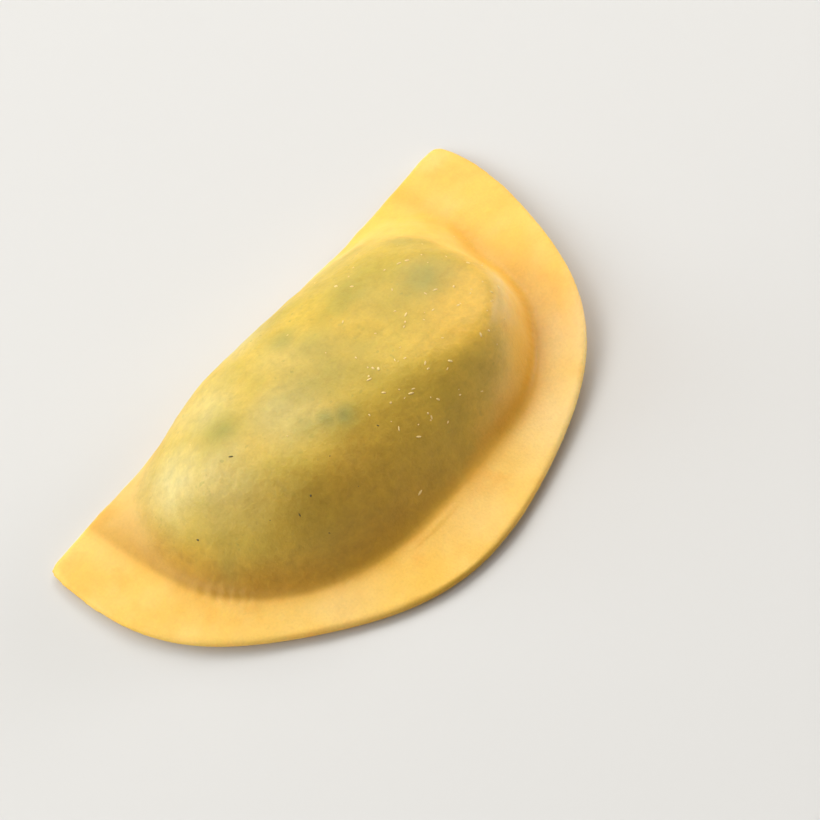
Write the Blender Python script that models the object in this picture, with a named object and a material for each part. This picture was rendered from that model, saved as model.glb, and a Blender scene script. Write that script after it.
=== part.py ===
"""One half-moon raviolo of fresh egg pasta, cooked and lying flat.

A disc of thin dough is folded over a plump filling and its open side is pressed shut. The curved
side keeps a flat pressed rim, and the straight side is the fold. The dough and its filling are one
solid. It starts as a sphere: the equator becomes the outline, the upper half becomes the domed top,
and the lower half becomes the flat underside. +X runs along the fold, -Y points to the curved rim.
"""

import math

import bmesh
import bpy

MM = 0.001
NAME = "raviolo"

# The outline: a round cutter's circle, cut short by the fold.
CUTTER_RADIUS = 35.9 * MM
FOLD_SETBACK = 4.4 * MM  # the fold lies this far behind the circle's centre
EDGE_WAVE = 0.5 * MM  # the cut edge bows in and out by this much
EDGE_WAVE_PITCH = math.radians(55.0)
EDGE_WAVE_PEAK = math.radians(-105.0)
FOLD_WAVE = 0.2 * MM
FOLD_WAVES = 3.5  # how many waves lie along the fold

# The foot of the filled bulge, about the same centre.
FOOT_RADIUS = 28.2 * MM
SHOULDER_FULLNESS = 2.1 * MM  # the filling spreads this much further at the two shoulders
LEFT_FULLNESS = 0.4 * MM
FOOT_SWELLS = (  # where the foot bows further out or in: the angle, the spread and how far
    (math.radians(-155.0), math.radians(12.0), 0.6 * MM),
    (math.radians(-66.0), math.radians(10.0), 0.8 * MM),
    (math.radians(-25.0), math.radians(8.0), -1.2 * MM),
)

# The bulge above it. A flank rises over a run, and a higher exponent makes it steeper at its foot.
BULGE_HEIGHT = 12.4 * MM
CROWN_X = -4.0 * MM
CROWN_Y = -10.0 * MM
CROWN_REACH = 30.0 * MM
CROWN_DROP = 0.15  # the share of its height that the top loses over the crown's reach
END_RUN = 18.0 * MM
FRONT_RUN = 15.0 * MM
STEEPNESS = 2.8
WALL_RUN_CUT = 12.0 * MM  # the right shoulder is a steep wall, where the filling was pushed along
WALL_ANGLE = math.radians(-50.0)
WALL_SPREAD = math.radians(26.0)
FILLET = 1.6 * MM  # how far the foot is blended into the rim

# The pressed rim.
FOOT_THICKNESS = 1.8 * MM
EDGE_THICKNESS = 1.3 * MM
RIPPLE_HEIGHT = 0.3 * MM
RIPPLE_TURNS = 5.0
RIPPLE_PEAK = math.radians(-11.5)
CURL_HEIGHT = 1.9 * MM  # the right part of the rim stands up from the table
CURL_ANGLE = math.radians(-36.0)
CURL_SPREAD = math.radians(30.0)

# The fold: round over the filling, a little left of the middle, and pressed flat towards its ends.
FOLD_MIDDLE = -4.0 * MM
FOLD_SPREAD = 15.0 * MM
FOLD_EDGE_HEIGHT = 1.8 * MM  # height of the fold's outermost line, at its middle
FOLD_RUN = 15.0 * MM  # how far the dough bends over before it reaches full height
FOLD_UNDERCUT = 3.0 * MM  # how far the underside curves up to the outermost line

# The facets.
ARC_STEPS = 60
FOLD_STEPS = 36
TOP_RINGS = 26
UNDER_RINGS = 8
HUB_SETBACK = 12.0 * MM  # the rings close on a point this far in front of the fold

DOUGH_COLOUR = (0.93, 0.62, 0.16, 1.0)
DOUGH_ROUGHNESS = 0.42


def smooth_step(value):
    value = min(max(value, 0.0), 1.0)
    return value * value * (3.0 - 2.0 * value)


def smooth_max(a, b, blend):
    """The larger of two heights, with a fillet where they cross."""
    overlap = max(blend - abs(a - b), 0.0) / blend
    return max(a, b) + overlap * overlap * blend / 4.0


def quarter_round(share):
    """Rises from 0 to 1 like the side of a circle."""
    share = min(max(share, 0.0), 1.0)
    return math.sqrt(1.0 - (1.0 - share) ** 2)


def hump(place, middle, spread):
    return math.exp(-(((place - middle) / spread) ** 2))


def polar(x, y):
    """Distance and angle about the circle's centre. The angle runs on past the left corner."""
    angle = math.atan2(y, x)
    if angle > math.pi / 2.0:
        angle -= 2.0 * math.pi
    return math.hypot(x, y), angle


def cut_radius(angle):
    wave = math.cos(2.0 * math.pi * (angle - EDGE_WAVE_PEAK) / EDGE_WAVE_PITCH)
    return CUTTER_RADIUS + EDGE_WAVE * wave


def foot_radius(angle):
    shoulders = SHOULDER_FULLNESS * math.sin(2.0 * angle) ** 2
    swells = sum(reach * hump(angle, middle, spread) for middle, spread, reach in FOOT_SWELLS)
    return FOOT_RADIUS + shoulders + swells - LEFT_FULLNESS * math.cos(angle)


RIGHT_CORNER_ANGLE = math.asin(FOLD_SETBACK / CUTTER_RADIUS)
LEFT_CORNER_ANGLE = -math.pi - RIGHT_CORNER_ANGLE
RIGHT_CORNER_X = cut_radius(RIGHT_CORNER_ANGLE) * math.cos(RIGHT_CORNER_ANGLE)
LEFT_CORNER_X = cut_radius(LEFT_CORNER_ANGLE) * math.cos(LEFT_CORNER_ANGLE)
RIGHT_CORNER_Y = cut_radius(RIGHT_CORNER_ANGLE) * math.sin(RIGHT_CORNER_ANGLE)
LEFT_CORNER_Y = cut_radius(LEFT_CORNER_ANGLE) * math.sin(LEFT_CORNER_ANGLE)


def fold_line(x):
    """How far back the fold lies, along its length."""
    share = (x - LEFT_CORNER_X) / (RIGHT_CORNER_X - LEFT_CORNER_X)
    straight = LEFT_CORNER_Y + share * (RIGHT_CORNER_Y - LEFT_CORNER_Y)
    return straight + FOLD_WAVE * math.sin(2.0 * math.pi * FOLD_WAVES * share) * math.sin(math.pi * share)


def outline_point(step):
    """The corners of the facets along the outline, anticlockwise from the left corner."""
    if step < ARC_STEPS:
        turn = RIGHT_CORNER_ANGLE - LEFT_CORNER_ANGLE
        angle = LEFT_CORNER_ANGLE + turn * step / ARC_STEPS
        radius = cut_radius(angle)
        return radius * math.cos(angle), radius * math.sin(angle)
    share = (step - ARC_STEPS) / FOLD_STEPS
    x = RIGHT_CORNER_X + share * (LEFT_CORNER_X - RIGHT_CORNER_X)
    return x, fold_line(x)


def flank(x, y):
    """How far the bulge has risen here: 0 at its foot, 1 on top, and below 0 out on the rim."""
    radius, angle = polar(x, y)
    run = END_RUN + (FRONT_RUN - END_RUN) * math.sin(angle) ** 2
    run -= WALL_RUN_CUT * hump(angle, WALL_ANGLE, WALL_SPREAD)
    share = (foot_radius(angle) - radius) / run
    if share < 0.0:
        return STEEPNESS * share
    return 1.0 - (1.0 - min(share, 1.0)) ** STEEPNESS


def fold_bend(x, y):
    """How far the dough has bent up from the fold: round in the middle, and a soft slope at the ends."""
    roundness = hump(x, FOLD_MIDDLE, FOLD_SPREAD)
    share = min(max((fold_line(x) - y) / FOLD_RUN, 0.0), 1.0)
    start = FOLD_EDGE_HEIGHT / BULGE_HEIGHT * roundness
    return start + (1.0 - start) * (1.0 - (1.0 - share) ** 2) ** (1.0 - 0.5 * roundness)


def crown(x, y):
    """The top is highest over the middle of the filling."""
    away = math.hypot(x - CROWN_X, y - CROWN_Y) / CROWN_REACH
    return BULGE_HEIGHT * (1.0 - CROWN_DROP * away * away)


def lift(x, y):
    """How far the rim's underside stands off the table."""
    radius, angle = polar(x, y)
    foot = foot_radius(angle)
    outward = smooth_step((radius - foot) / (cut_radius(angle) - foot))
    ripple = RIPPLE_HEIGHT * (0.5 + 0.5 * math.cos(RIPPLE_TURNS * (angle - RIPPLE_PEAK)))
    return outward * (ripple + CURL_HEIGHT * hump(angle, CURL_ANGLE, CURL_SPREAD))


def top(x, y):
    radius, angle = polar(x, y)
    from_cut = cut_radius(angle) - radius
    from_fold = fold_line(x) - y
    half_edge = EDGE_THICKNESS / 2.0
    rim = half_edge + half_edge * quarter_round(from_cut / half_edge) * quarter_round(from_fold / half_edge)
    swell = smooth_step(from_cut / (cut_radius(angle) - foot_radius(angle)))
    rim += lift(x, y) + (FOOT_THICKNESS - EDGE_THICKNESS) * swell * quarter_round(from_fold / FOLD_UNDERCUT)
    return smooth_max(rim, crown(x, y) * fold_bend(x, y) * flank(x, y), FILLET)


def underside(x, y, edge_height):
    """Flat on the table, and rounded up to the outline."""
    radius, angle = polar(x, y)
    half_edge = EDGE_THICKNESS / 2.0
    undercut = half_edge + FOLD_UNDERCUT * max(flank(x, y), 0.0)
    flatness = quarter_round((cut_radius(angle) - radius) / half_edge)
    flatness *= quarter_round((fold_line(x) - y) / undercut)
    return edge_height + (lift(x, y) - edge_height) * flatness


def shape_raviolo(mesh):
    """A sphere of unit radius, moved point by point into the raviolo."""
    steps, rings = ARC_STEPS + FOLD_STEPS, UNDER_RINGS + TOP_RINGS
    hub_y = FOLD_SETBACK - HUB_SETBACK
    work = bmesh.new()
    bmesh.ops.create_uvsphere(work, u_segments=steps, v_segments=rings, radius=1.0)
    for vertex in work.verts:
        turn = math.atan2(vertex.co.y, vertex.co.x) / (2.0 * math.pi)
        edge_x, edge_y = outline_point(round(turn * steps) % steps)
        ring = round((math.asin(max(-1.0, min(1.0, vertex.co.z))) / math.pi + 0.5) * rings)
        if ring < UNDER_RINGS:
            reach = math.sin(0.5 * math.pi * ring / UNDER_RINGS)
        else:
            reach = math.cos(0.5 * math.pi * (ring - UNDER_RINGS) / TOP_RINGS)
        x, y = edge_x * reach, hub_y + (edge_y - hub_y) * reach
        if ring < UNDER_RINGS:
            vertex.co = (x, y, underside(x, y, top(edge_x, edge_y)))
        else:
            vertex.co = (x, y, top(x, y))
    for axis in (0, 1):
        places = [vertex.co[axis] for vertex in work.verts]
        middle = (min(places) + max(places)) / 2.0
        for vertex in work.verts:
            vertex.co[axis] -= middle
    work.to_mesh(mesh)
    work.free()


def dough():
    material = bpy.data.materials.new("egg_dough")
    material.use_nodes = True
    shader = material.node_tree.nodes["Principled BSDF"]
    shader.inputs["Base Color"].default_value = DOUGH_COLOUR
    shader.inputs["Roughness"].default_value = DOUGH_ROUGHNESS
    shader.inputs["Metallic"].default_value = 0.0
    return material


for old in list(bpy.data.objects):
    bpy.data.objects.remove(old, do_unlink=True)

collection = bpy.data.collections.new(NAME)
bpy.context.scene.collection.children.link(collection)
raviolo_mesh = bpy.data.meshes.new(NAME)
shape_raviolo(raviolo_mesh)
raviolo_mesh.shade_smooth()
raviolo_mesh.materials.append(dough())
collection.objects.link(bpy.data.objects.new(NAME, raviolo_mesh))
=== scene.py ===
import math
import random

import bpy
import numpy as np
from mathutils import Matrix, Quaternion, Vector


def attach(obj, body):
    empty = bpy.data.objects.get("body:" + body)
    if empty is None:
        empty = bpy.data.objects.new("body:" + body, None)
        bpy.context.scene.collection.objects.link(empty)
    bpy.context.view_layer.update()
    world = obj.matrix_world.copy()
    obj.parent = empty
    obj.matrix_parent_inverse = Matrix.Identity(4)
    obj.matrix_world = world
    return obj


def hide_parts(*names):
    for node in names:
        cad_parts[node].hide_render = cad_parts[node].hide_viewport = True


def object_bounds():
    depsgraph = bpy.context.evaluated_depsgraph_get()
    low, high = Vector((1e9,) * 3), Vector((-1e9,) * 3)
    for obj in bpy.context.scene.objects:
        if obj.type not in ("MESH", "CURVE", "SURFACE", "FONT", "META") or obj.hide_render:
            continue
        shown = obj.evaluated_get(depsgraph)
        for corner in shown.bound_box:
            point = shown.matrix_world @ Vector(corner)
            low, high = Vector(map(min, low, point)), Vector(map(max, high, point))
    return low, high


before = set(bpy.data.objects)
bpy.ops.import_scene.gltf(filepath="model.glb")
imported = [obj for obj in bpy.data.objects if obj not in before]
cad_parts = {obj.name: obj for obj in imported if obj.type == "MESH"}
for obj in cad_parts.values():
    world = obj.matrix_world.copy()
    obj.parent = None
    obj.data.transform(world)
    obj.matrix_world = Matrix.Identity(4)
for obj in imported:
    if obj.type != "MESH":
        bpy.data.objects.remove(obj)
cad_low, cad_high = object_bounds()

# ---------------------------------------------------------------------------------------------
# The folded dough, its plain form. A thin disc of egg dough lies folded over a spoonful of
# filling. The solid's own mesh is merged, rounded by subdivision and given an even skin of small
# faces, fine enough to be pushed about by hand.
MM = 0.001
SKIN_STEP = 0.27 * MM

bpy.ops.object.select_all(action="DESELECT")
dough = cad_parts["raviolo"].copy()
dough.data = dough.data.copy()
dough.parent = None
dough.name = "folded_dough"
bpy.context.scene.collection.objects.link(dough)
bpy.context.view_layer.objects.active = dough
dough.select_set(True)
bpy.ops.object.mode_set(mode="EDIT")
bpy.ops.mesh.select_all(action="SELECT")
bpy.ops.mesh.remove_doubles(threshold=0.001 * MM)
bpy.ops.mesh.tris_convert_to_quads(
    face_threshold=math.radians(60.0), shape_threshold=math.radians(60.0)
)
bpy.ops.object.mode_set(mode="OBJECT")


def apply_modifier(piece, kind, **settings):
    """One modifier, set up and applied at once."""
    modifier = piece.modifiers.new(kind.lower(), kind)
    for name, value in settings.items():
        setattr(modifier, name, value)
    bpy.ops.object.modifier_apply(modifier=modifier.name)


apply_modifier(dough, "SUBSURF", levels=2, render_levels=2)
apply_modifier(dough, "REMESH", mode="VOXEL", voxel_size=SKIN_STEP)
apply_modifier(dough, "SMOOTH", factor=0.5, iterations=3)

# ---------------------------------------------------------------------------------------------
# The marks of the hand on the dough. Fingers press the open side shut around the filling, which
# leaves little pleats along the foot of the bulge, a doubled crease, and a rim that is thin,
# dented and turned up at one shoulder. Places are told from the middle of the cutter's circle.
CUTTER_CENTRE = Vector((-0.3 * MM, cad_high.y - 4.6 * MM))
CUTTER_RADIUS = 35.9 * MM
FOOT_RADIUS = 28.2 * MM
SHOULDER_FULLNESS = 2.1 * MM
LEFT_FULLNESS = 0.4 * MM
FOOT_SWELLS = (  # middle and spread in degrees, how far out in millimetres
    (-155.0, 12.0, 0.6),
    (-66.0, 10.0, 0.8),
    (-25.0, 8.0, -1.2),
)
PLEAT_PITCH = 1.15 * MM
PLEAT_REACH = 0.9 * MM
PLEATS = (  # middle and spread in degrees, height in millimetres
    (-153.0, 8.0, 0.08),
    (-122.0, 10.0, 0.04),
    (-47.0, 13.0, 0.09),
    (-14.0, 7.0, 0.06),
)
CREASE_OFFSET = 0.9 * MM
CREASE_WIDTH = 0.25 * MM
CREASE_HEIGHT = 0.12 * MM
CREASE_PLACE = (-102.0, 8.0)  # middle and spread in degrees
LIP_HEIGHT = 0.7 * MM
LIP_WIDTH = 3.0 * MM
LIP_PLACE = (-45.0, 22.0)
FLANK_WIDTH = 4.0 * MM  # from the foot inwards to where the filling is thick
LUMPS = (  # along the fold, across it, radius and height, all in millimetres
    (-14.0, -18.5, 6.5, 0.9),
    (-19.5, -10.0, 5.5, 0.3),
    (-4.0, -21.0, 6.0, -0.4),
    (11.0, -20.5, 6.0, 0.45),
)


def hump(place, middle, spread):
    return np.exp(-(((place - middle) / spread) ** 2))


def smooth_step(value):
    value = np.clip(value, 0.0, 1.0)
    return value * value * (3.0 - 2.0 * value)


class Skin:
    """The points of a mesh as columns of numbers, told from the middle of the cutter's circle."""

    def __init__(self, mesh):
        self.mesh = mesh
        count = len(mesh.vertices)
        self.points, self.normals = np.empty(count * 3), np.empty(count * 3)
        mesh.vertices.foreach_get("co", self.points)
        mesh.vertex_normals.foreach_get("vector", self.normals)
        self.points, self.normals = self.points.reshape(-1, 3), self.normals.reshape(-1, 3)
        self.x = self.points[:, 0] - CUTTER_CENTRE.x
        self.y = self.points[:, 1] - CUTTER_CENTRE.y
        self.z = self.points[:, 2]
        self.radius = np.hypot(self.x, self.y)
        angle = np.degrees(np.arctan2(self.y, self.x))
        self.angle = np.where(angle > 90.0, angle - 360.0, angle)
        shoulders = SHOULDER_FULLNESS * np.sin(np.radians(2.0 * self.angle)) ** 2
        self.foot = FOOT_RADIUS + shoulders - LEFT_FULLNESS * np.cos(np.radians(self.angle))
        for middle, spread, reach in FOOT_SWELLS:
            self.foot += reach * MM * hump(self.angle, middle, spread)
        self.topside = smooth_step(self.normals[:, 2] * 2.0)

    def store(self):
        self.points[:, 2] = np.maximum(self.points[:, 2], 0.0)
        self.mesh.vertices.foreach_set("co", self.points.ravel())
        self.mesh.update()

    def attribute(self, name, values):
        layer = self.mesh.attributes.new(name, "FLOAT", "POINT")
        layer.data.foreach_set("value", np.clip(values, 0.0, 1.0))


skin = Skin(dough.data)
past_foot = skin.radius - skin.foot
along_foot = np.radians(skin.angle) * skin.foot
for middle, spread, height in PLEATS:
    wave = 0.5 + 0.5 * np.cos(2.0 * math.pi * along_foot / PLEAT_PITCH)
    band = hump(past_foot, -0.3 * PLEAT_REACH, PLEAT_REACH) * hump(skin.angle, middle, spread)
    skin.points[:, 2] += height * MM * wave * band * skin.topside
crease = hump(past_foot, CREASE_OFFSET, CREASE_WIDTH) * hump(skin.angle, *CREASE_PLACE)
skin.points[:, 2] += CREASE_HEIGHT * crease * skin.topside
lip = smooth_step((skin.radius - CUTTER_RADIUS + LIP_WIDTH) / LIP_WIDTH)
skin.points[:, 2] += LIP_HEIGHT * lip * hump(skin.angle, *LIP_PLACE)
filled = smooth_step((skin.foot - skin.radius) / FLANK_WIDTH) * skin.topside
for along, across, reach, height in LUMPS:
    away = np.hypot(skin.x - along * MM, skin.y - across * MM)
    skin.points[:, 2] += height * MM * hump(away, 0.0, reach * MM) * filled
skin.store()


def relief(name, size, depth, where):
    """Soft clouds of the given size, pushed into the skin to the given depth."""
    weights = dough.vertex_groups.new(name=name)
    for index, share in enumerate(where):
        if share > 0.001:
            weights.add([index], share, "REPLACE")
    clouds = bpy.data.textures.new(name, "CLOUDS")
    clouds.noise_scale = size
    clouds.noise_depth = 1
    apply_modifier(
        dough, "DISPLACE", texture=clouds, texture_coords="LOCAL", strength=depth,
        mid_level=0.5, vertex_group=name,
    )
    dough.vertex_groups.remove(dough.vertex_groups[name])


relief("lumps", 6.5 * MM, 0.5 * MM, filled)
relief("pebbles", 0.8 * MM, 0.05 * MM, filled)
relief("dents", 5.0 * MM, 0.25 * MM, skin.topside * (1.0 - filled))
relief("crumb", 1.4 * MM, 0.03 * MM, skin.topside)

skin = Skin(dough.data)
skin.store()
bpy.ops.object.shade_smooth()
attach(dough, "root")
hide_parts("raviolo")

# ---------------------------------------------------------------------------------------------
# What shows through the dough, with painted light and shade. The filling is ricotta with chopped
# herbs: over it the thin dough turns khaki, with blurred leaves and pale curds under it, and the
# bare dough stays warm yellow. The curd marks also carry a painted sheen, painted shade darkens
# the front flank, the low flank and the foot, and the right wall is partly painted lighter. Where
# each lies is kept on the mesh as a mark from 0 to 1 for the finish to read.
FILLING_MIDDLE = (-3.5, -10.5)
FILLING_REACH = (24.0, 17.0)
LEAVES = (  # along the fold, across it and radius in millimetres, and how strongly it shows
    (-14.0, -6.3, 2.4, 0.8),
    (-4.9, -16.4, 1.4, 0.9),
    (-6.4, -15.4, 1.5, 0.8),
    (-8.4, -14.2, 1.8, 0.5),
    (-0.6, -3.9, 1.9, 0.55),
    (-0.2, -7.7, 2.6, 0.45),
    (-24.1, -14.2, 1.4, 0.35),
    (14.5, -12.5, 3.2, 0.7),
    (8.6, -6.4, 3.4, 0.5),
    (-13.7, -17.6, 2.6, 0.2),
    (-4.0, -10.5, 4.0, 0.4),
)
# Pale curds, partly real and partly a painted sheen: the broad pale patch at the left end and the
# streak down the right wall stand for reflected light.
CURDS_AND_SHEEN = (  # along the fold, across it and radius in millimetres, and how strongly it shows
    (-20.3, -3.8, 4.2, 1.0),
    (-17.5, -9.0, 4.5, 0.6),
    (-8.5, -11.0, 4.5, 0.6),
    (-3.0, -5.5, 4.0, 0.4),
    (-12.0, -1.8, 4.5, 0.7),
    (-2.5, 2.5, 3.5, 0.6),
    (-22.4, 1.5, 4.0, 0.7),
    (17.4, -21.8, 2.2, 0.7),
    (19.0, -20.6, 1.5, 0.8),
    (20.6, -19.2, 1.7, 1.0),
    (22.0, -27.0, 6.0, 0.8),
    (13.0, -31.5, 6.0, 0.8),
    (-20.0, -26.5, 4.0, 0.5),
    (-3.0, -32.0, 4.0, 0.4),
)
# Painted shade: the long curved front flank faces away from the lamps and is painted a darker
# brown.
FLANK_FACING = (-0.2, -0.98)  # the way the long curved flank faces
FLANK_MIDDLE = (-8.5, 12.0)  # along the fold, and its spread
LOW_SHADE_BAND = 7.0 * MM  # the lowest part of the flank, painted darker as shade
LOW_SHADE_PLACE = (-150.0, 40.0)  # middle and spread in degrees
# The right wall gets a lighter ochre: partly the dough's warmer tone there, partly painted light.
WALL_PLACE = (-54.0, 22.0)
# Painted shade: a thin darker orange line along the foot of the bulge, where the crease lies in
# shadow.
FOOT_SHADE_WIDTH = 1.4 * MM
FOOT_SHADE_PLACE = (-65.0, 26.0)
offset_x = (skin.x / MM - FILLING_MIDDLE[0]) / FILLING_REACH[0]
offset_y = (skin.y / MM - FILLING_MIDDLE[1]) / FILLING_REACH[1]
inside = 1.0 - (np.abs(offset_x) ** 2.5 + np.abs(offset_y) ** 2.5) ** 0.4
skin.attribute("filling", smooth_step(0.5 + inside / 0.3) * smooth_step(skin.z / (2.5 * MM) - 0.4))
for name, spots in (("leaves", LEAVES), ("curds_and_sheen", CURDS_AND_SHEEN)):
    shows = np.zeros_like(skin.x)
    for along, across, reach, strength in spots:
        away = np.hypot(skin.x / MM - along, skin.y / MM - across)
        shows = np.maximum(shows, strength * hump(away, 0.0, reach))
    skin.attribute(name, shows * skin.topside)
slope = skin.normals[:, 0] * FLANK_FACING[0] + skin.normals[:, 1] * FLANK_FACING[1]
# Where painted shade darkens the front flank.
skin.attribute("front_shade", smooth_step((slope - 0.15) / 0.5) * hump(skin.x / MM, *FLANK_MIDDLE))
# Painted shade: the low flank at the left and front, just inside the foot, is marked to be painted
# darker tan.
low = smooth_step((LOW_SHADE_BAND - skin.z) / (5.0 * MM)) * hump(skin.angle, *LOW_SHADE_PLACE) * skin.topside
skin.attribute("low", low * smooth_step((skin.foot + 0.5 * MM - skin.radius) / MM))
foot_shade_line = hump(past_foot, -0.4 * MM, FOOT_SHADE_WIDTH) * skin.topside
skin.attribute("foot_shade_line", foot_shade_line * (0.5 + 0.5 * hump(skin.angle, *FOOT_SHADE_PLACE)))
wall_tone_and_light = smooth_step((skin.radius / MM - 15.0) / 8.0) * hump(skin.angle, *WALL_PLACE)
skin.attribute("wall_tone_and_light", wall_tone_and_light * filled)


class Wire:
    """One output of a finish's nodes. Sums and products of wires add their Math nodes."""

    def __init__(self, tree, socket=None):
        self.tree, self.socket = tree, socket

    def node(self, kind, settings, sockets, output=0):
        """Any other node: its settings first, then what its sockets take, then one output."""
        made = self.tree.nodes.new(kind)
        for name, value in settings.items():
            setattr(made, name, value)
        for key, value in sockets.items():
            if isinstance(value, Wire):
                self.tree.links.new(value.socket, made.inputs[key])
            else:
                made.inputs[key].default_value = value
        return Wire(self.tree, made.outputs[output])

    def math(self, operation, first, second):
        return self.node("ShaderNodeMath", {"operation": operation}, {0: first, 1: second})

    def __add__(self, other):
        return self.math("ADD", self, other)

    def __radd__(self, other):
        return self.math("ADD", other, self)

    def __sub__(self, other):
        return self.math("SUBTRACT", self, other)

    def __rsub__(self, other):
        return self.math("SUBTRACT", other, self)

    def __mul__(self, other):
        return self.math("MULTIPLY", self, other)

    def __rmul__(self, other):
        return self.math("MULTIPLY", other, self)

    def noise(self, size, detail=2.0, roughness=0.5):
        """Soft clouds about this far apart, from 0 to 1. This wire gives the place."""
        sockets = {"Vector": self, "Scale": 1.0 / size, "Detail": detail, "Roughness": roughness}
        return self.node("ShaderNodeTexNoise", {}, sockets)

    def mark(self, name):
        """One of the marks kept on the mesh, from 0 to 1."""
        return self.node("ShaderNodeAttribute", {"attribute_name": name}, {}, output="Fac")

    def between(self, low, high):
        """0 below low, 1 above high, and smooth between them."""
        sockets = {"Value": self, "From Min": low, "From Max": high}
        return self.node("ShaderNodeMapRange", {"interpolation_type": "SMOOTHSTEP"}, sockets)

    def blend(self, first, second, mode="MIX"):
        """The first colour where this wire is 0, and the second where it is 1."""
        settings = {"data_type": "RGBA", "blend_type": mode, "clamp_factor": True}
        return self.node("ShaderNodeMix", settings, {0: self, 6: first, 7: second}, output=2)


finish = bpy.data.materials.new("egg_dough")
finish.use_nodes = True
tree = finish.node_tree
shader = tree.nodes["Principled BSDF"]
place = Wire(tree).node("ShaderNodeTexCoord", {}, {}, output="Object")
filling = place.mark("filling")
leaf = place.mark("leaves")
curd_and_sheen = place.mark("curds_and_sheen")
front_shade = place.mark("front_shade")
low = place.mark("low")
foot_shade_line = place.mark("foot_shade_line")
wall_tone_and_light = place.mark("wall_tone_and_light")

DOUGH_GOLD = (0.93, 0.55, 0.09, 1.0)
DOUGH_CREAM = (0.95, 0.60, 0.14, 1.0)
DOUGH_ORANGE = (0.93, 0.49, 0.075, 1.0)
# Painted shade for the line along the foot.
FOOT_SHADE_ORANGE = (0.80, 0.41, 0.04, 1.0)
# Painted shade for the front flank.
FRONT_SHADE_BROWN = (0.52, 0.30, 0.032, 1.0)
# Painted shade for the low flank.
LOW_SHADE_TAN = (0.54, 0.28, 0.025, 1.0)
# Pale dough, partly real and partly a painted sheen.
DOUGH_PALE_AND_SHEEN = (0.95, 0.67, 0.27, 1.0)
FILLING_KHAKI = (0.62, 0.43, 0.06, 1.0)
FILLING_STRAW = (0.71, 0.47, 0.06, 1.0)
FILLING_OLIVE = (0.49, 0.36, 0.052, 1.0)
# Ochre for the right wall, partly its warmer tone and partly painted light.
WALL_OCHRE_AND_LIGHT = (0.77, 0.45, 0.055, 1.0)
# Pale curd, partly real and partly a painted sheen.
CURD_AND_SHEEN_PALE = (0.65, 0.54, 0.21, 1.0)
LEAF_GREEN = (0.34, 0.30, 0.065, 1.0)

bare = place.noise(7.0 * MM).between(0.35, 0.65).blend(DOUGH_GOLD, DOUGH_CREAM)
bare = (place.noise(4.0 * MM, 3.0).between(0.5, 0.72) * 0.7).blend(bare, DOUGH_ORANGE)
# Pale where the curd marks lie: partly real, partly a painted sheen.
bare = curd_and_sheen.blend(bare, DOUGH_PALE_AND_SHEEN)
# Painted shade along the foot.
bare = foot_shade_line.blend(bare, FOOT_SHADE_ORANGE)
under = place.noise(7.0 * MM, 3.0).between(0.35, 0.65).blend(FILLING_KHAKI, FILLING_STRAW)
under = (place.noise(3.6 * MM, 3.0).between(0.4, 0.7) * 0.75).blend(under, FILLING_OLIVE)
# Pale curds under the dough, partly real and partly a painted sheen.
under = (curd_and_sheen * (0.55 + 0.7 * place.noise(2.5 * MM, 3.0))).blend(under, CURD_AND_SHEEN_PALE)
flecks = place.noise(0.8 * MM, 2.0).between(0.62, 0.72) * place.noise(6.0 * MM).between(0.4, 0.65)
under = (flecks * 0.5).blend(under, LEAF_GREEN)
# Lighter ochre on the right wall: partly its warmer tone, partly painted light.
under = (wall_tone_and_light * (0.3 + 0.8 * place.noise(3.0 * MM))).blend(under, WALL_OCHRE_AND_LIGHT)
reach = (filling + (place.noise(3.5 * MM) - 0.5) * 0.5).between(0.2, 0.85)
colour = reach.blend(bare, under)
# Painted shade: the front flank darkens to brown.
colour = (front_shade * 0.9).blend(colour, FRONT_SHADE_BROWN)
# Painted shade: the low flank darkens to tan.
colour = (low * (0.7 + 0.6 * place.noise(3.0 * MM))).blend(colour, LOW_SHADE_TAN)
mottle = place.noise(1.8 * MM, 3.0)
colour = (leaf * (0.45 + 1.1 * mottle)).blend(colour, LEAF_GREEN)
pebble = place.noise(0.9 * MM, 3.0, 0.6)
grain = place.noise(0.3 * MM, 2.0)
light = 1.0 + (mottle - 0.5) * (0.05 + reach * 0.3)
light = light + (pebble - 0.5) * (0.08 + reach * 0.2) + (grain - 0.5) * 0.16
colour = colour.node("ShaderNodeVectorMath", {"operation": "SCALE"}, {0: colour, "Scale": light})
tree.links.new(colour.socket, shader.inputs["Base Color"])

rough = 0.50 + (place.noise(2.5 * MM) - 0.5) * 0.12 + (grain - 0.5) * 0.15
tree.links.new(rough.socket, shader.inputs["Roughness"])
height = pebble * (0.3 + reach * 0.7) + grain * 0.5
bump = place.node("ShaderNodeBump", {}, {"Height": height, "Strength": 0.6, "Distance": 0.1 * MM})
tree.links.new(bump.socket, shader.inputs["Normal"])
shader.inputs["Subsurface Weight"].default_value = 0.3
shader.inputs["Subsurface Radius"].default_value = (1.0, 0.5, 0.15)
shader.inputs["Subsurface Scale"].default_value = 1.5 * MM
shader.inputs["Specular IOR Level"].default_value = 0.3
shader.inputs["Coat Weight"].default_value = 0.05
shader.inputs["Coat Roughness"].default_value = 0.25
dough.data.materials.clear()
dough.data.materials.append(finish)

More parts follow.
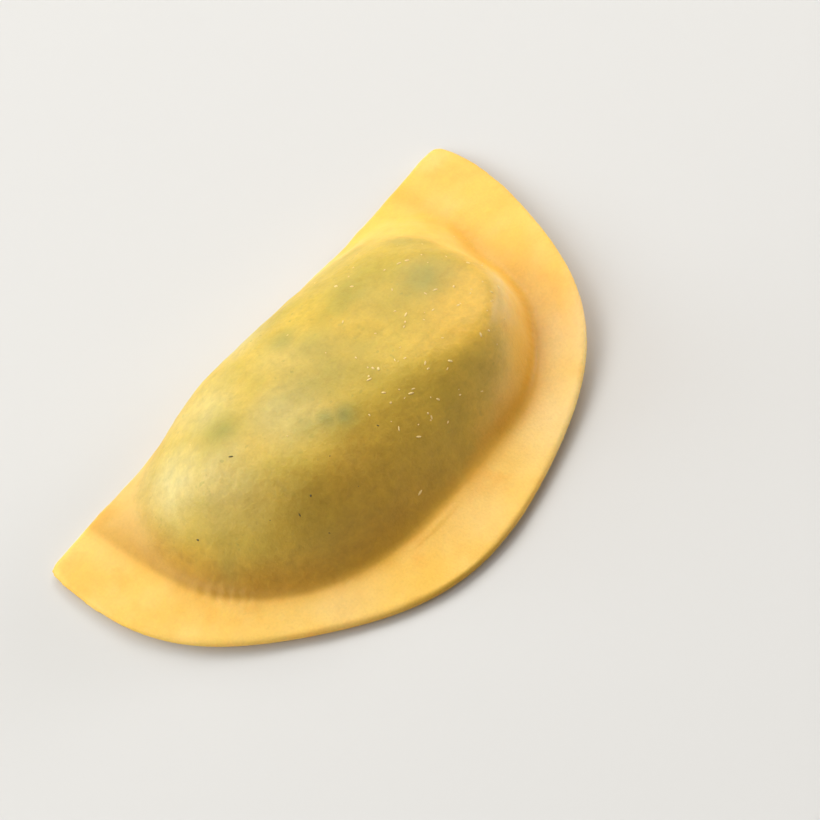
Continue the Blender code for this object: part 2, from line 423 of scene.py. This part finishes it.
# ---------------------------------------------------------------------------------------------
# The grains on the dough. Coarse semolina from the board clings to it, mostly on the right half,
# and a few dark crumbs of herb lie about its left half. The pale colour of the semolina also
# stands in for glints of the wet dough, a painted highlight. Each kind is one piece of small
# flattened grains, half sunk in the dough.
SEMOLINA_AND_GLINTS = (  # along the fold, across it and radius in millimetres, and how thickly it lies
    (9.0, -15.0, 13.0, 1.3),
    (1.5, -18.5, 4.0, 2.5),
    (9.0, -15.0, 4.0, 2.0),
    (15.6, -19.5, 2.0, 10.0),
)
HERB_CRUMBS = (
    (-11.0, -19.0, 5.0, 3.0),
    (-10.0, -12.0, 12.0, 1.0),
)


def strew(name, count, radius, heaps, seed):
    """Grains strewn over the bulge, thickest about the given places."""
    dice = random.Random(seed)
    chances = np.zeros_like(skin.x)
    for along, across, reach, share in heaps:
        away = np.hypot(skin.x / MM - along, skin.y / MM - across)
        chances += share * hump(away, 0.0, reach)
    chances *= filled * (skin.normals[:, 2] > 0.3)
    grains = []
    for spot in dice.choices(range(len(chances)), weights=chances.tolist(), k=count):
        turn = Vector(skin.normals[spot]).to_track_quat("Z", "Y")
        turn = turn @ Quaternion((0, 0, 1), dice.uniform(0.0, math.pi))
        bpy.ops.mesh.primitive_ico_sphere_add(
            subdivisions=2, radius=radius * dice.uniform(0.5, 1.4),
            location=skin.points[spot], rotation=turn.to_euler(),
            scale=(dice.uniform(1.0, 3.0), 1.0, 0.6),
        )
        grains.append(bpy.context.object)
    for grain in grains:
        grain.select_set(True)
    bpy.ops.object.join()
    bpy.context.object.name = name
    bpy.ops.object.transform_apply(location=True, rotation=True, scale=True)
    bpy.ops.object.shade_smooth()
    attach(bpy.context.object, "root")
    return bpy.context.object


def plain_finish(name, colour, roughness):
    material = bpy.data.materials.new(name)
    material.use_nodes = True
    material.node_tree.nodes["Principled BSDF"].inputs["Base Color"].default_value = colour
    material.node_tree.nodes["Principled BSDF"].inputs["Roughness"].default_value = roughness
    return material


# Pale semolina grains, partly real and partly painted glints.
semolina_and_glints = strew("semolina_and_glints", 90, 0.09 * MM, SEMOLINA_AND_GLINTS, 4)
semolina_and_glints.data.materials.append(plain_finish("semolina_and_glints", (0.86, 0.64, 0.25, 1.0), 0.35))
crumbs = strew("herb_crumbs", 9, 0.09 * MM, HERB_CRUMBS, 7)
crumbs.data.materials.append(plain_finish("dried_herb", (0.13, 0.1, 0.025, 1.0), 0.6))

# ---------------------------------------------------------------------------------------------
# The table, the lamps and the camera. A pale table in a pale room, three warm soft lamps to the
# left, behind the fold and to the right, and two cool windows, one low behind it and one at the
# right.
FLOOR_SIZE = 6.0
bpy.ops.mesh.primitive_plane_add(size=FLOOR_SIZE)
floor = bpy.context.object
floor.name = "floor"
floor.data.materials.append(plain_finish("pale_table", (0.66, 0.65, 0.63, 1.0), 0.6))


def lamp(name, towards, distance, width, height, power, colour):
    """An oblong soft lamp that faces the raviolo from the given direction."""
    place = Vector(towards).normalized()
    bpy.ops.object.light_add(type="AREA", location=place * distance)
    light = bpy.context.object
    light.name = name
    light.rotation_euler = place.to_track_quat("Z", "Y").to_euler()
    light.data.shape = "RECTANGLE"
    light.data.size = width
    light.data.size_y = height
    light.data.energy = power
    light.data.color = colour


lamp("lamp_left", (-0.72, 0.2, 0.67), 1.6, 1.2, 1.0, 12.4, (1.0, 0.98, 0.95))
lamp("lamp_behind", (0.0, 0.62, 0.79), 1.6, 1.2, 1.0, 12.4, (1.0, 0.97, 0.92))
lamp("lamp_right", (0.64, 0.37, 0.67), 1.6, 1.0, 0.8, 12.8, (1.0, 0.97, 0.92))
lamp("window_left", (-0.5, 0.8, 0.36), 1.6, 0.8, 0.8, 10.5, (0.75, 0.88, 1.0))
lamp("window_right", (0.91, -0.33, 0.26), 1.2, 0.36, 0.36, 5.0, (0.9, 0.92, 1.0))

WALL_LIGHT = 0.62
WALL_TOP = 0.13  # how high the pale wall stands, as a share of the way straight up
CEILING_LIGHT = 0.08
world = bpy.data.worlds.new("room")
world.use_nodes = True
room = world.node_tree.nodes["Background"]
room.inputs["Color"].default_value = (1.0, 0.98, 0.95, 1.0)
towards = Wire(world.node_tree).node("ShaderNodeTexCoord", {}, {}, output="Generated")
up = towards.node("ShaderNodeSeparateXYZ", {}, {"Vector": towards}, output="Z")
strength = WALL_LIGHT - up.between(WALL_TOP, 2.0 * WALL_TOP) * (WALL_LIGHT - CEILING_LIGHT)
world.node_tree.links.new(strength.socket, room.inputs["Strength"])
bpy.context.scene.world = world
bpy.context.scene.view_settings.view_transform = "Standard"

VIEW_AZIMUTH = math.radians(-39.6)
VIEW_HEIGHT = math.radians(56.6)
VIEW_ROLL = math.radians(-14.4)
VIEW_DISTANCE = 260.5 * MM
VIEW_TARGET = Vector((4.3 * MM, -0.5 * MM, 0.0))
turn = Quaternion((0, 0, 1), VIEW_AZIMUTH) @ Quaternion((1, 0, 0), math.pi / 2 - VIEW_HEIGHT)
turn = turn @ Quaternion((0, 0, 1), VIEW_ROLL)
stand = VIEW_TARGET + turn @ Vector((0, 0, VIEW_DISTANCE))
bpy.ops.object.camera_add(location=stand, rotation=turn.to_euler())
camera = bpy.context.object
camera.data.lens = 100.0
camera.data.sensor_width = 36.0
camera.data.clip_start = 10.0 * MM
bpy.context.scene.camera = camera
